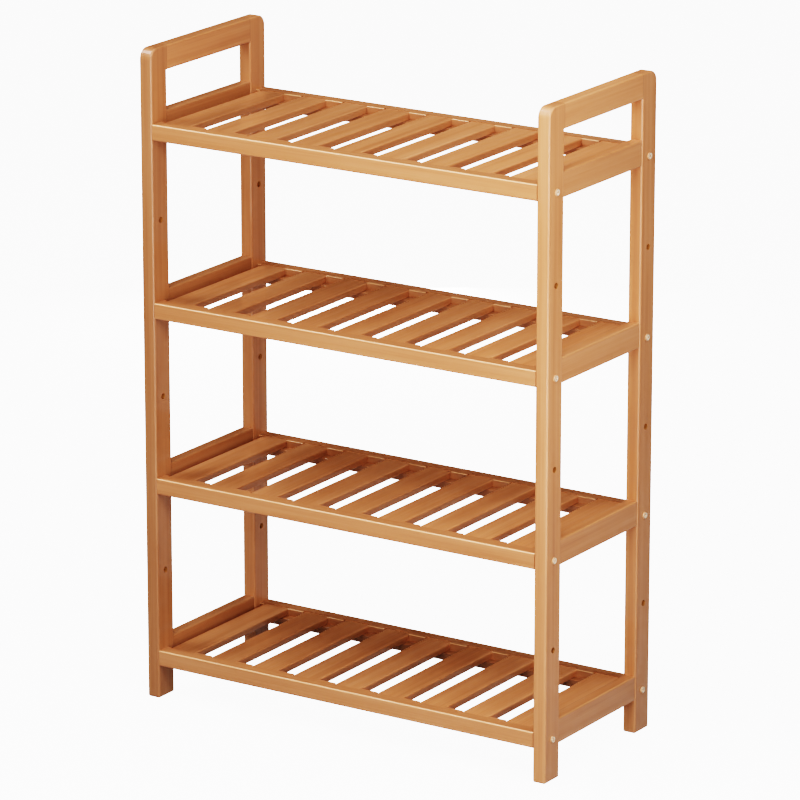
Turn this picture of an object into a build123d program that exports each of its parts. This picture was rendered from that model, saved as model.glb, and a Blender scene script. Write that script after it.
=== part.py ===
from build123d import *
import os

# Four-tier slatted wooden shoe rack: two ladder-like side frames joined by four slatted shelves.
# Millimetres. +Z is up, -Y is the front, and the origin is on the floor under the rack's middle.

# Overall size
width = 600.0
depth = 252.0
height = 855.0

# Posts, and the handle rail that joins each pair of posts at the top
post_thickness = 18.0
post_width = 34.0
handle_height = 32.0
shoulder_radius = 14.0
edge_radius = 2.5

# Shelves
shelf_count = 4
lowest_shelf_top = 65.0
shelf_pitch = 231.5

# Side rails between the two posts of a frame, one at each shelf
side_rail_thickness = 16.0
side_rail_height = 33.0
side_rail_rise = 12.0
side_rail_radius = 2.0

# Mortise and tenon between a rail and a post
tenon_thickness = 9.0
tenon_depth = 11.0
tenon_shoulder = 5.0
mortise_gap = 0.1
mortise_end_gap = 0.5

# Front and rear shelf rails: an L profile whose low ledge carries the slats
rail_height = 21.0
rail_top_width = 21.0
rail_setback = 0.5
rail_radius = 2.0
rail_inner_radius = 1.2
ledge_radius = 1.0

# Slats, a row of nine on each shelf, with a thinner tongue at each end let into the rail's top
slat_count = 9
slat_width = 38.0
slat_thickness = 9.0
slat_pitch = 63.4
slat_row_shift = -4.0
slat_drop = 0.8
slat_end_gap = 0.3
slat_side_gap = 0.15
slat_top_radius = 2.0
slat_bottom_radius = 0.8
tongue_length = 4.5
tongue_thickness = 5.0

# M6 low-head bolt through each post into a threaded insert in the shelf rail's end
bolt_drop = 10.5
post_hole_radius = 3.8
bolt_radius = 2.95
bolt_length = 45.0
bolt_head_radius = 4.6
bolt_head_height = 2.0
bolt_head_rounding = 1.2
socket_across_flats = 4.0
socket_depth = 3.0
insert_radius = 4.0
insert_bore_radius = 3.0
insert_length = 14.0
pocket_gap = 0.05
rail_hole_radius = 3.25
rail_hole_length = 30.0

# Places worked out from the sizes above
half_width = width / 2
half_depth = depth / 2
post_inner_x = half_width - post_thickness
post_middle_x = half_width - post_thickness / 2
post_inner_y = half_depth - post_width
post_middle_y = half_depth - post_width / 2
rail_outer_y = half_depth - rail_setback
rail_step_y = rail_outer_y - rail_top_width
tongue_tip_y = rail_step_y + tongue_length
ledge_drop = slat_drop + slat_thickness
notch_drop = slat_drop + tongue_thickness
slat_row = [slat_row_shift + slat_pitch * (place - (slat_count - 1) / 2) for place in range(slat_count)]
shelf_tops = [lowest_shelf_top + shelf_pitch * (shelf_count - 1 - tier) for tier in range(shelf_count)]
bolt_heights = [top - bolt_drop for top in shelf_tops]
spare_hole_heights = [(upper + lower) / 2 for upper, lower in zip(bolt_heights, bolt_heights[1:])]
side_rail_middles = [top + side_rail_rise - side_rail_height / 2 for top in shelf_tops]
handle_middle = height - handle_height / 2

sides = {"left": -1, "right": 1}
ends = {"front": -1, "rear": 1}


def box_between(low, high):
    """A box from its lowest corner to its highest corner."""
    size = [b - a for a, b in zip(low, high)]
    middle = [(a + b) / 2 for a, b in zip(low, high)]
    return Pos(*middle) * Box(*size)


def rod_along_x(radius, near_x, far_x, y, z):
    """A cylinder parallel to X between two places along it."""
    rod = Rot(0, 90, 0) * Cylinder(radius, abs(far_x - near_x))
    return Pos((near_x + far_x) / 2, y, z) * rod


def tenon(end, rail_middle, height_of_rail, gap=0.0, end_gap=0.0):
    """The tenon at one end of a rail, in a frame centred on X = 0, or its mortise if gaps are given."""
    half_thickness = tenon_thickness / 2 + gap
    half_height = height_of_rail / 2 - tenon_shoulder + gap
    root_y = end * post_inner_y
    tip_y = end * (post_inner_y + tenon_depth + end_gap)
    return box_between(
        (-half_thickness, min(root_y, tip_y), rail_middle - half_height),
        (half_thickness, max(root_y, tip_y), rail_middle + half_height),
    )


def frame_blank():
    """Two posts and their handle rail as one rounded arch, before it is parted at the joints."""
    arch_opening_height = height - handle_height
    outline = Rectangle(depth, height)
    outline = fillet(outline.vertices().sort_by(Axis.Y)[-2:], shoulder_radius)
    outline -= Pos(0, -handle_height / 2) * Rectangle(2 * post_inner_y, arch_opening_height)
    blank = extrude(Plane.YZ * outline, post_thickness / 2, both=True)
    blank = Pos(0, 0, height / 2) * blank
    foot_level = 1.0
    crosswise = blank.edges().filter_by(Axis.X)
    upper_crosswise = crosswise.filter_by(lambda edge: edge.center().Z > foot_level)
    rounded = [edge for edge in blank.edges() if edge not in upper_crosswise]
    return fillet(rounded, edge_radius)


def post(blank, end):
    """One post, cut from the arch, with its mortises, bolt holes and spare holes."""
    outer_y = end * (half_depth + 1)
    inner_y = end * post_inner_y
    keep = box_between(
        (-post_thickness, min(inner_y, outer_y), -1),
        (post_thickness, max(inner_y, outer_y), height + 1),
    )
    solid = blank & keep
    solid -= tenon(end, handle_middle, handle_height, mortise_gap, mortise_end_gap)
    for middle in side_rail_middles:
        solid -= tenon(end, middle, side_rail_height, mortise_gap, mortise_end_gap)
    for level in bolt_heights + spare_hole_heights:
        solid -= rod_along_x(post_hole_radius, -post_thickness, post_thickness, end * post_middle_y, level)
    return solid


def handle_rail(blank):
    """The rail between two posts at the top, flush with them, with a tenon at each end."""
    keep = box_between(
        (-post_thickness, -post_inner_y, height - handle_height - 1),
        (post_thickness, post_inner_y, height + 1),
    )
    solid = blank & keep
    for end in ends.values():
        solid += tenon(end, handle_middle, handle_height)
    return solid


def side_rail(middle):
    """A plain rounded rail between two posts beside a shelf, with a tenon at each end."""
    bar = Box(side_rail_thickness, 2 * post_inner_y, side_rail_height)
    bar = fillet(bar.edges().filter_by(Axis.Y), side_rail_radius)
    solid = Pos(0, 0, middle) * bar
    for end in ends.values():
        solid += tenon(end, middle, side_rail_height)
    return solid


def shelf_rail(end, top):
    """The L-shaped rail along a shelf's front or rear, notched for the slats and drilled for its bolts."""
    bottom = -rail_height
    corners = {
        "top_outer": (rail_outer_y, 0.0, rail_radius),
        "bottom_outer": (rail_outer_y, bottom, rail_radius),
        "bottom_inner": (post_inner_y, bottom, rail_radius),
        "ledge_inner": (post_inner_y, -ledge_drop, ledge_radius),
        "step_foot": (rail_step_y, -ledge_drop, 0.0),
        "step_head": (rail_step_y, 0.0, rail_inner_radius),
    }
    profile = make_face(Polyline([(y, z) for y, z, radius in corners.values()], close=True))
    for y, z, radius in corners.values():
        if radius > 0:
            corner = profile.vertices().sort_by_distance((y, z, 0))[0]
            profile = fillet(corner, radius)
    bar = extrude(Plane.YZ * profile, post_inner_x, both=True)
    if end < 0:
        bar = mirror(bar, about=Plane.XZ)
    solid = Pos(0, 0, top) * bar
    for side in sides.values():
        face_x = side * post_inner_x
        pocket_x = face_x - side * insert_length
        hole_x = face_x - side * rail_hole_length
        y = end * post_middle_y
        z = top - bolt_drop
        solid -= rod_along_x(insert_radius + pocket_gap, face_x, pocket_x, y, z)
        solid -= rod_along_x(rail_hole_radius, face_x, hole_x, y, z)
    half_notch = slat_width / 2 + slat_side_gap
    notch_near_y = end * (rail_step_y - 1)
    notch_far_y = end * tongue_tip_y
    for x in slat_row:
        solid -= box_between(
            (x - half_notch, min(notch_near_y, notch_far_y), top - notch_drop),
            (x + half_notch, max(notch_near_y, notch_far_y), top + 1),
        )
    return solid


def slat(x, top):
    """One slat from front to rear, resting on the ledges, its tongues in the rails' notches."""
    lath = Box(slat_width, 2 * (tongue_tip_y - slat_end_gap), slat_thickness)
    lath = fillet(lath.edges().filter_by(Axis.Y).sort_by(Axis.Z)[-2:], slat_top_radius)
    lath = fillet(lath.edges().filter_by(Axis.Y).sort_by(Axis.Z)[:2], slat_bottom_radius)
    solid = Pos(x, 0, top - slat_drop - slat_thickness / 2) * lath
    shoulder_y = rail_step_y - slat_end_gap
    for end in ends.values():
        near_y = end * shoulder_y
        far_y = end * tongue_tip_y
        solid -= box_between(
            (x - slat_width, min(near_y, far_y), top - slat_drop - slat_thickness - 1),
            (x + slat_width, max(near_y, far_y), top - notch_drop),
        )
    return solid


def bolt():
    """A low-head bolt with a hexagon socket, its head outward on +X from the origin."""
    head = Pos(bolt_head_height / 2, 0, 0) * (Rot(0, 90, 0) * Cylinder(bolt_head_radius, bolt_head_height))
    crown = head.edges().filter_by(GeomType.CIRCLE).sort_by(Axis.X)[-1]
    head = fillet(crown, bolt_head_rounding)
    solid = head + rod_along_x(bolt_radius, -bolt_length, 0, 0, 0)
    hexagon = RegularPolygon(socket_across_flats / 2, 6, major_radius=False)
    socket = extrude(Plane.YZ * hexagon, socket_depth + 1)
    return solid - Pos(bolt_head_height - socket_depth, 0, 0) * socket


def insert():
    """A threaded insert that starts at the origin and reaches along -X into the wood."""
    sleeve = rod_along_x(insert_radius, -insert_length, 0, 0, 0)
    return sleeve - rod_along_x(insert_bore_radius, -insert_length, 0, 0, 0)


def at_every_joint(piece, distance):
    """Copies of a piece at both sides, both ends and every shelf, each facing outward along X."""
    copies = []
    for side in sides.values():
        turn = 0 if side > 0 else 180
        for end in ends.values():
            for level in bolt_heights:
                copies.append(Pos(side * distance, end * post_middle_y, level) * (Rot(0, 0, turn) * piece))
    return Compound(copies)


def all_pieces():
    """Every piece of the rack by its node name."""
    pieces = {}
    blank = frame_blank()
    for side_name, side in sides.items():
        place = Pos(side * post_middle_x, 0, 0)
        for end_name, end in ends.items():
            pieces[f"{side_name}_{end_name}_post"] = place * post(blank, end)
        pieces[f"{side_name}_handle_rail"] = place * handle_rail(blank)
        for tier, middle in enumerate(side_rail_middles, start=1):
            pieces[f"{side_name}_side_rail_{tier}"] = place * side_rail(middle)
    for tier, top in enumerate(shelf_tops, start=1):
        for end_name, end in ends.items():
            pieces[f"{end_name}_rail_{tier}"] = shelf_rail(end, top)
        for place, x in enumerate(slat_row, start=1):
            pieces[f"shelf_{tier}_slat_{place}"] = slat(x, top)
    pieces["socket_bolts"] = at_every_joint(bolt(), half_width)
    pieces["threaded_inserts"] = at_every_joint(insert(), post_inner_x)
    return pieces


os.makedirs("parts", exist_ok=True)
for node, shape in all_pieces().items():
    export_step(shape, f"parts/{node}.step")
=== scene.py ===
"""Studio picture of the tiered shoe rack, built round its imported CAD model.

Metres, in the CAD model's frame: +Z is up, -Y is the front, the origin is on the floor under the
rack's middle. The CAD pieces keep their shape and place, and get their materials here.
"""
import math
import random

import bpy
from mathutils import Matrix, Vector


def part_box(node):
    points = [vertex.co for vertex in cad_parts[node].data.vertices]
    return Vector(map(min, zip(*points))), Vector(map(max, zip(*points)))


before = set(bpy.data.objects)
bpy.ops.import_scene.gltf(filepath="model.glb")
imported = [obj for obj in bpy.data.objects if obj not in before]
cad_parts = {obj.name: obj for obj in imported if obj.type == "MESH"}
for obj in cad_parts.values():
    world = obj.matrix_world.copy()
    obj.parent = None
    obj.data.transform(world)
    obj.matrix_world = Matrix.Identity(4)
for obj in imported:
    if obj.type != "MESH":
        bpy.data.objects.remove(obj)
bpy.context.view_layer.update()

# Camera: a long lens from the front right, a little above the rack
view_azimuth = math.radians(32.97)
view_elevation = math.radians(16.44)
view_distance = 6.7315
view_target = Vector((0.0058, 0.0, 0.4161))
lens = 240.87
sensor_width = 36.0
clip_end = 100.0

# Wood colours, linear, from the pale early wood to the dark late wood, and of the painted shade on some
# faces and ledges
pale_wood = (0.64, 0.296, 0.15)
honey_wood = (0.55, 0.227, 0.103)
dark_wood = (0.40, 0.144, 0.057)
painted_shade_wood = (0.22, 0.075, 0.027)
lightest_channel = 0.9

# The painted highlight along a shelf rail's edge, the glue in a joint, and the bare wood in a bolt
# hole, darkened further as painted shade
arris_highlight_colour = (0.95, 0.52, 0.27)
glue_line = (0.2, 0.07, 0.025)
bore_wood_and_shade = (0.42, 0.17, 0.05)

# How light the boards of a sub-part are against the rest, partly their own wood and partly painted
# light and shade, and by how much single boards differ
wood_and_light_tones = {
    "right_front_post": 1.12,
    "left_front_post": 0.8,
    "right_handle_rail": 1.12,
    "left_side_rail": 0.8,
    "right_side_rail": 1.06,
    "front_rail": 1.06,
    "rear_rail": 0.88,
}
tone_spread = 0.04

# Painted light on the slats: from darker at the left end of a shelf to lighter at the right end, where
# the light is stronger
slat_count = 9
first_slat_painted_light = 0.87
last_slat_painted_light = 1.2

# The axis that the grain runs along: 0, 1 or 2
grain_axes = {
    "post": 2,
    "handle_rail": 1,
    "side_rail": 1,
    "front_rail": 0,
    "rear_rail": 0,
    "slat": 1,
}

# Growth rings: spacing, squeeze along the grain, waver, and the pith that they run round
ring_spacing = 0.0042
ring_squeeze = 0.07
ring_distortion = 7.0
ring_waver = 0.35
ring_contrast = (0.35, 0.95)
pith_distances = (0.05, 0.12)
pith_shift = 3.0

# The rest of the figure: width across the grain in metres, squeeze along it, and noise detail
figure_layers = {
    "streaks": (0.007, 0.015, 3.0),
    "fibres": (0.0011, 0.012, 2.0),
    "blotches": (0.03, 0.12, 2.0),
    "pores": (0.0005, 0.02, 1.0),
    "polish": (0.012, 0.3, 2.0),
}
pore_contrast = (0.64, 0.74)

# How much each layer counts in the wood's shade and in the height of its surface
shade_weights = {"rings": 0.05, "streaks": 0.62, "fibres": 0.2, "blotches": 0.5}
shade_contrast = (0.34, 1.02)
height_weights = {"fibres": 0.5, "pores": -0.6, "rings": 0.15}
bump_strength = 0.35
bump_height = 0.0002

# How strongly pores, end grain and glue lines darken the wood, and where a glue line fades out
pore_darkness = 0.15
end_grain_darkness = 0.35
seam_darkness = 0.55
seam_fade = (0.0002, 0.0005)

# Painted shade: faces painted darker than the rest of their piece, where less light falls on them: the
# axis they face along, and how much darker
painted_shade_faces = {
    "slat": ("X", 0.2),
    "front_rail": ("Z", 0.2),
    "rear_rail": ("Y", 0.3),
    "left_handle_rail": ("Z", 0.3),
}

# How squarely a face looks along an axis where its darkening, by end grain or by painted shade, starts
# and where it is full
end_grain_facing = (0.8, 0.97)
painted_shade_facing = (0.7, 0.97)

# Shelf rails: how far from the rack's middle the top steps down to the ledge, how much painted shade
# darkens the ledge and how far inside the step it gets so, and how strong the painted highlight on the
# rounded edge is by its slope
rail_step = 0.1045
ledge_painted_shade = 0.4
ledge_painted_shade_fade = (0.0005, 0.0001)
arris_highlight_strength = 0.6
arris_highlight_slopes = (0.2, 0.4)
arris_highlight_margin = 0.001

# How rough the wood is, and the lacquer on it
polish_contrast = (0.3, 0.7)
wood_roughness = (0.38, 0.5)
pore_roughness = 0.1
coat_weight = 0.45
coat_roughness = 0.05

# Bolt holes and spare holes through the posts, at even heights, and how their edge fades
hole_radius = 0.0038
hole_fade = (0.0001, 0.0003)
lowest_hole = 0.0545
hole_pitch = 0.11575

# Metals: name, colour, roughness, how bright the tarnish is, and the socket's or bore's radius
metals = {
    "socket_bolts": ("bright_zinc", (1.0, 0.87, 0.7), 0.42, 0.95, 0.0019),
    "threaded_inserts": ("yellow_zinc", (0.62, 0.5, 0.3), 0.35, 0.7, 0.003),
}
mottle_width = 0.0012
mottle_contrast = (0.3, 0.7)
mottle_roughness = 0.15
head_metallic = 0.3
# Painted light in a bolt's socket: less metallic and a light brown, lifting the shade inside it
socket_metallic = 0.1
socket_painted_light = (0.85, 0.58, 0.38)
rim_brown = (0.66, 0.38, 0.22)
crown_radius = 0.0033

# The camera sees a bright floor, and the lacquer mirrors a dim one just under it
floor_reach = 40.0
floor_glow = 4.0
mirrored_floor_glow = 0.19
mirrored_floor_level = -0.002
floor_greys = (0.88, 0.9)
floor_cloud_width = 0.8
floor_roughness = 0.8
floor_specular = 0.2
world_glow = 0.01

# Softboxes: place, side in metres and power in watts. Each is turned to the rack's middle
rack_middle = (0.0, 0.0, 0.45)
softboxes = {
    "front_top": ((0.0, -1.5, 1.9), 0.8, 14.5),
    "front_left_top": ((-0.6, -1.3, 1.9), 1.2, 4.0),
    "front_low": ((0.5, -1.5, 0.35), 0.6, 8.0),
    "rear_top": ((0.0, 1.5, 1.7), 1.6, 5.5),
    "above": ((0.3, 0.1, 2.2), 1.4, 7.5),
    "key": ((0.6, -0.8, 1.3), 0.4, 5.0),
    "right_top": ((0.95, 0.1, 1.35), 0.6, 2.5),
    "right_low": ((1.1, -0.5, 0.3), 0.6, 3.5),
    "right_near": ((0.8, -0.45, 0.75), 0.4, 1.8),
    "edge": ((-1.55, -0.8, 2.8), 1.0, 34.0),
    "rear_left": ((-1.2, 1.7, 0.2), 0.4, 14.0),
}

# Softboxes that light the wood without a reflection in its lacquer
unmirrored = ("rear_top", "rear_left")


class Graph:
    """A material's node tree, with short ways to add nodes and join them."""

    def __init__(self, name):
        self.material = bpy.data.materials.new(name)
        self.material.use_nodes = True
        self.tree = self.material.node_tree
        self.shader = self.tree.nodes["Principled BSDF"]

    def add(self, kind, **settings):
        """A new node of a kind, with its settings."""
        node = self.tree.nodes.new("ShaderNode" + kind)
        for key, value in settings.items():
            setattr(node, key, value)
        return node

    def feed(self, socket, value):
        """Joins an output to a socket, or sets the socket to a plain value."""
        if isinstance(value, bpy.types.NodeSocket):
            self.tree.links.new(value, socket)
        else:
            socket.default_value = value

    def math(self, operation, a, b=0.0):
        """What a sum, product or other operation makes of one or two values."""
        node = self.add("Math", operation=operation)
        self.feed(node.inputs[0], a)
        self.feed(node.inputs[1], b)
        return node.outputs[0]

    def total(self, values, weights):
        """The sum of the values that have a weight, each times its weight."""
        result, *parts = [self.math("MULTIPLY", values[key], weight) for key, weight in weights.items()]
        for part in parts:
            result = self.math("ADD", result, part)
        return result

    def split(self, vector):
        """The X, Y and Z of a vector."""
        node = self.add("SeparateXYZ")
        self.feed(node.inputs[0], vector)
        return node.outputs

    def noise(self, vector, feature_width, detail):
        """Noise from 0 to 1, with features of about the width given."""
        node = self.add("TexNoise")
        self.feed(node.inputs["Vector"], vector)
        node.inputs["Scale"].default_value = 1.0 / feature_width
        node.inputs["Detail"].default_value = detail
        return node.outputs["Fac"]

    def stretch(self, vector, scale, shift):
        """Coordinates moved by a shift and then scaled, which stretches what is drawn on them."""
        moved = self.add("VectorMath", operation="ADD")
        self.feed(moved.inputs[0], vector)
        moved.inputs[1].default_value = shift
        scaled = self.add("VectorMath", operation="MULTIPLY")
        self.feed(scaled.inputs[0], moved.outputs[0])
        scaled.inputs[1].default_value = scale
        return scaled.outputs[0]

    def remap(self, value, low, high, new_low=0.0, new_high=1.0):
        """A value taken from one range to another, held inside the new one."""
        node = self.add("MapRange", clamp=True)
        self.feed(node.inputs["Value"], value)
        node.inputs["From Min"].default_value = low
        node.inputs["From Max"].default_value = high
        node.inputs["To Min"].default_value = new_low
        node.inputs["To Max"].default_value = new_high
        return node.outputs["Result"]

    def ramp(self, value, stops):
        """A colour for a value, from (place, colour) stops."""
        node = self.add("ValToRGB")
        elements = node.color_ramp.elements
        while len(elements) < len(stops):
            elements.new(0.5)
        for element, (place, colour) in zip(elements, stops):
            element.position = place
            element.color = (*colour, 1.0)
        self.feed(node.inputs["Fac"], value)
        return node.outputs["Color"]

    def mix(self, factor, a, b):
        """Two colours mixed by a factor, each of them an output or a plain colour."""
        node = self.add("Mix", data_type="RGBA")
        self.feed(node.inputs[0], factor)
        for socket, colour in ((node.inputs[6], a), (node.inputs[7], b)):
            self.feed(socket, (*colour, 1.0) if isinstance(colour, tuple) else colour)
        return node.outputs[2]


def wood(name, grain, low, high, tone):
    """Clear-lacquered softwood with its grain along one axis, 0 to 2, for a piece in a box.

    The growth rings run round a pith outside the piece, so each piece shows its own cut.
    """
    graph = Graph(name)
    place = graph.add("TexCoord").outputs["Object"]
    figure = wood_figure(graph, name, place, grain, (low + high) / 2)
    graph.feed(graph.shader.inputs["Base Color"], wood_colour(graph, name, place, grain, figure, tone))

    roughness = graph.remap(figure["polish"], *polish_contrast, *wood_roughness)
    dullness = graph.math("MULTIPLY", figure["pores"], pore_roughness)
    graph.feed(graph.shader.inputs["Roughness"], graph.math("ADD", roughness, dullness))
    graph.shader.inputs["Coat Weight"].default_value = coat_weight
    graph.shader.inputs["Coat Roughness"].default_value = coat_roughness

    bump = graph.add("Bump")
    bump.inputs["Strength"].default_value = bump_strength
    bump.inputs["Distance"].default_value = bump_height
    graph.feed(bump.inputs["Height"], graph.total(figure, height_weights))
    graph.feed(graph.shader.inputs["Normal"], bump.outputs["Normal"])
    return graph.material


def wood_figure(graph, name, place, grain, middle):
    """The rings, streaks and other layers of a board's figure, each from 0 to 1."""
    chance = random.Random(name)
    pith_angle = chance.uniform(0.0, 2.0 * math.pi)
    pith_distance = chance.uniform(*pith_distances)
    across = [axis for axis in range(3) if axis != grain]
    pith = Vector(middle)
    pith[across[0]] += pith_distance * math.cos(pith_angle)
    pith[across[1]] += pith_distance * math.sin(pith_angle)
    pith[grain] = chance.uniform(-pith_shift, pith_shift)

    def along(squeeze):
        """Coordinates from the pith, squeezed along the grain, which draws the figure out."""
        scale = [1.0, 1.0, 1.0]
        scale[grain] = squeeze
        return graph.stretch(place, scale, -pith)

    # At scale 1 a wave turns by 20 radians a metre
    wave = graph.add("TexWave", wave_type="RINGS", rings_direction="XYZ"[grain], wave_profile="SAW")
    graph.feed(wave.inputs["Vector"], along(ring_squeeze))
    wave.inputs["Scale"].default_value = 2.0 * math.pi / (20.0 * ring_spacing)
    wave.inputs["Distortion"].default_value = ring_distortion
    wave.inputs["Detail"].default_value = 2.0
    wave.inputs["Detail Scale"].default_value = ring_waver
    figure = {"rings": graph.remap(wave.outputs["Fac"], *ring_contrast)}
    for layer, (width, squeeze, detail) in figure_layers.items():
        figure[layer] = graph.noise(along(squeeze), width, detail)
    figure["pores"] = graph.remap(figure["pores"], *pore_contrast)
    return figure


def wood_colour(graph, name, place, grain, figure, tone):
    """A board's colour: its figure and end grain, painted shade on some faces and on the rails' ledges,
    a painted highlight on the rails' top edges, and the marks of its joints and holes, the holes with
    painted shade.
    """
    shade = graph.remap(graph.total(figure, shade_weights), *shade_contrast)
    stops = []
    for stop, base in ((0.0, pale_wood), (0.5, honey_wood), (1.0, dark_wood)):
        stops.append((stop, tuple(min(lightest_channel, channel * tone) for channel in base)))
    colour = graph.ramp(shade, stops)
    colour = graph.mix(graph.math("MULTIPLY", figure["pores"], pore_darkness), colour, dark_wood)

    # The ends of the grain drink the lacquer and stay darker
    normal = graph.split(graph.add("TexCoord").outputs["Normal"])
    facing = graph.math("ABSOLUTE", normal[grain])
    end_grain = graph.remap(facing, *end_grain_facing, 0.0, end_grain_darkness)
    colour = graph.mix(end_grain, colour, dark_wood)
    # Painted shade: some faces of a piece are painted darker, where less light falls on them
    for word, (axis, darkness) in painted_shade_faces.items():
        if word in name:
            facing = graph.math("ABSOLUTE", normal[axis])
            colour = graph.mix(graph.remap(facing, *painted_shade_facing, 0.0, darkness), colour, painted_shade_wood)
    if "front_rail" in name or "rear_rail" in name:
        # Painted shade on the rails' ledges in the gaps between the slats
        colour = graph.mix(painted_ledge_shade(graph, place), colour, painted_shade_wood)
        # Painted highlight on the rails' rounded top edges
        colour = graph.mix(painted_arris_highlight(graph, place, normal), colour, arris_highlight_colour)
    if "post" in name or "handle" in name:
        colour = graph.mix(seam(graph, place), colour, glue_line)
    if "post" in name:
        # The bare wood in the holes, darkened further as painted shade inside them
        colour = graph.mix(hole(graph, place, hole_radius), colour, bore_wood_and_shade)
    return colour


def seam(graph, place):
    """How strongly the glue line shows between a handle rail and its posts."""
    joint_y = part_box("left_rear_post")[0][1]
    handle_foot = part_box("left_handle_rail")[0][2]
    axes = graph.split(place)
    from_middle = graph.math("ABSOLUTE", axes["Y"])
    distance = graph.math("ABSOLUTE", graph.math("SUBTRACT", from_middle, joint_y))
    line = graph.remap(distance, *seam_fade, seam_darkness, 0.0)
    above = graph.math("GREATER_THAN", axes["Z"], handle_foot - max(seam_fade))
    return graph.math("MULTIPLY", line, above)


def painted_arris_highlight(graph, place, normal):
    """Painted highlight: how much lighter a shelf rail is painted on the rounded edge along its top, on
    the side to the front.
    """
    from_middle = graph.math("ABSOLUTE", graph.split(place)["Y"])
    above_ledge = graph.math("GREATER_THAN", from_middle, rail_step - arris_highlight_margin)
    frontward = graph.math("MULTIPLY", normal["Y"], -1.0)
    slope = graph.math("MULTIPLY", normal["Z"], frontward)
    highlight = graph.remap(slope, *arris_highlight_slopes, 0.0, arris_highlight_strength)
    return graph.math("MULTIPLY", highlight, above_ledge)


def painted_ledge_shade(graph, place):
    """Painted shade: how much darker a shelf rail is painted where its ledge lies in shade in the gaps
    between the slats.
    """
    from_middle = graph.math("ABSOLUTE", graph.split(place)["Y"])
    inner, outer = (rail_step - inset for inset in ledge_painted_shade_fade)
    return graph.remap(from_middle, inner, outer, ledge_painted_shade, 0.0)


def hole(graph, place, radius):
    """1 closer than a radius to the axis of any hole through the posts, and 0 elsewhere."""
    post_low, post_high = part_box("right_rear_post")
    axes = graph.split(place)
    from_middle = graph.math("ABSOLUTE", axes["Y"])
    beside = graph.math("SUBTRACT", from_middle, (post_low[1] + post_high[1]) / 2)
    climb = graph.math("SUBTRACT", axes["Z"], lowest_hole)
    above = graph.math("PINGPONG", climb, hole_pitch / 2)
    squares = [graph.math("MULTIPLY", leg, leg) for leg in (beside, above)]
    distance = graph.math("SQRT", graph.math("ADD", *squares))
    inner, outer = (radius + margin for margin in hole_fade)
    return graph.remap(distance, inner, outer, 1.0, 0.0)


def metal(name, colour, roughness, tarnish, socket_radius):
    """Plated metal with a faint mottled tarnish and a browner rim on each bolt head, and painted light
    in the socket: a light, less metallic brown that lifts its shade.
    """
    graph = Graph(name)
    place = graph.add("TexCoord").outputs["Object"]
    mottle = graph.noise(place, mottle_width, 3.0)
    dull = tuple(channel * tarnish for channel in colour)
    plated = graph.ramp(mottle, [(0.35, colour), (0.75, dull)])
    rimmed = graph.mix(hole(graph, place, crown_radius), rim_brown, plated)
    # Painted light: the socket is a light, less metallic brown, lifting the shade inside it
    socket = hole(graph, place, socket_radius)
    graph.feed(graph.shader.inputs["Base Color"], graph.mix(socket, rimmed, socket_painted_light))
    metallic = graph.remap(socket, 0.0, 1.0, head_metallic, socket_metallic)
    graph.feed(graph.shader.inputs["Metallic"], metallic)
    uneven = graph.remap(mottle, *mottle_contrast, roughness, roughness + mottle_roughness)
    graph.feed(graph.shader.inputs["Roughness"], uneven)
    return graph.material


def wood_and_light_tone(name):
    """How light a board is: by its sub-part, partly its own wood and partly painted light, a little by
    chance, and by a slat's place in its row as painted light.
    """
    tone = next((value for word, value in wood_and_light_tones.items() if word in name), 1.0)
    tone *= random.Random("tone of " + name).uniform(1.0 - tone_spread, 1.0 + tone_spread)
    if "slat" in name:
        # Painted light: a slat is lighter the further right it lies on its shelf
        across = (int(name[-1]) - 1) / (slat_count - 1)
        tone *= first_slat_painted_light + (last_slat_painted_light - first_slat_painted_light) * across
    return tone


def dress(nodes):
    """Gives each CAD piece its material."""
    for name, piece in nodes.items():
        if name in metals:
            material = metal(*metals[name])
        else:
            grain = next(axis for word, axis in grain_axes.items() if word in name)
            material = wood("wood_" + name, grain, *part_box(name), wood_and_light_tone(name))
        piece.data.materials.clear()
        piece.data.materials.append(material)


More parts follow.
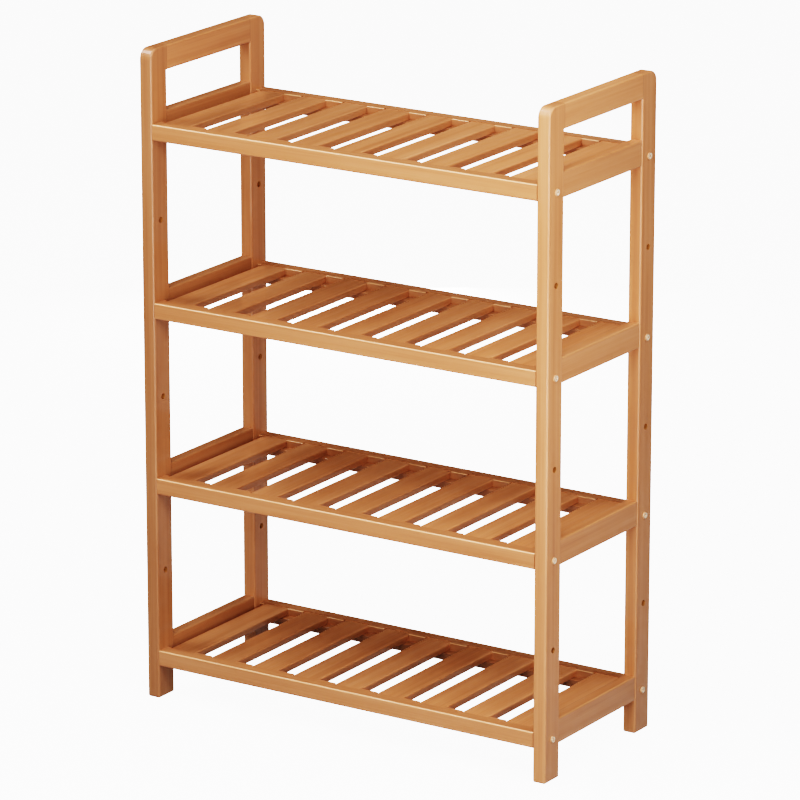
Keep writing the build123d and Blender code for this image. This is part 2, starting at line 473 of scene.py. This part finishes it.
def floor(name, level, glow):
    """A wide pale floor that glows, so that it stays near white under soft light."""
    mesh = bpy.data.meshes.new(name)
    signs = ((-1, -1), (1, -1), (1, 1), (-1, 1))
    corners = [(x * floor_reach, y * floor_reach, level) for x, y in signs]
    mesh.from_pydata(corners, [], [(0, 1, 2, 3)])
    plane = bpy.data.objects.new(name, mesh)
    bpy.context.scene.collection.objects.link(plane)
    graph = Graph(name)
    cloud = graph.noise(graph.add("TexCoord").outputs["Object"], floor_cloud_width, 2.0)
    stops = [(stop, (grey, grey, grey)) for stop, grey in zip((0.3, 0.7), floor_greys)]
    graph.feed(graph.shader.inputs["Base Color"], graph.ramp(cloud, stops))
    graph.shader.inputs["Roughness"].default_value = floor_roughness
    graph.shader.inputs["Specular IOR Level"].default_value = floor_specular
    graph.shader.inputs["Emission Color"].default_value = (1.0, 1.0, 1.0, 1.0)
    graph.shader.inputs["Emission Strength"].default_value = glow
    mesh.materials.append(graph.material)
    plane.visible_diffuse = False
    return plane


def softbox(name, place, aim, size, power):
    """A square area light at a place, turned to a point."""
    data = bpy.data.lights.new(name, "AREA")
    data.size = size
    data.energy = power
    light = bpy.data.objects.new(name, data)
    light.location = place
    light.rotation_mode = "QUATERNION"
    light.rotation_quaternion = (Vector(aim) - Vector(place)).to_track_quat("-Z", "Y")
    light.visible_camera = False
    light.visible_glossy = name not in unmirrored
    bpy.context.scene.collection.objects.link(light)


def surroundings():
    """A faint even glow that fills the deepest shadows."""
    world = bpy.data.worlds.new("studio")
    world.use_nodes = True
    background = world.node_tree.nodes["Background"]
    background.inputs["Color"].default_value = (1.0, 1.0, 1.0, 1.0)
    background.inputs["Strength"].default_value = world_glow
    bpy.context.scene.world = world


def camera():
    """The camera at its angle, looking at its target."""
    data = bpy.data.cameras.new("camera")
    data.lens = lens
    data.sensor_width = sensor_width
    data.clip_end = clip_end
    back = Vector((
        math.sin(view_azimuth) * math.cos(view_elevation),
        -math.cos(view_azimuth) * math.cos(view_elevation),
        math.sin(view_elevation),
    ))
    eye = bpy.data.objects.new("camera", data)
    eye.location = view_target + back * view_distance
    eye.rotation_mode = "QUATERNION"
    eye.rotation_quaternion = (-back).to_track_quat("-Z", "Y")
    bpy.context.scene.collection.objects.link(eye)
    bpy.context.scene.camera = eye


dress(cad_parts)
floor("floor", 0.0, floor_glow).visible_glossy = False
floor("mirrored_floor", mirrored_floor_level, mirrored_floor_glow).visible_camera = False
surroundings()
for name, (place, size, power) in softboxes.items():
    softbox(name, place, rack_middle, size, power)
camera()
bpy.context.scene.view_settings.view_transform = "Filmic"
bpy.context.scene.view_settings.look = "Very High Contrast"
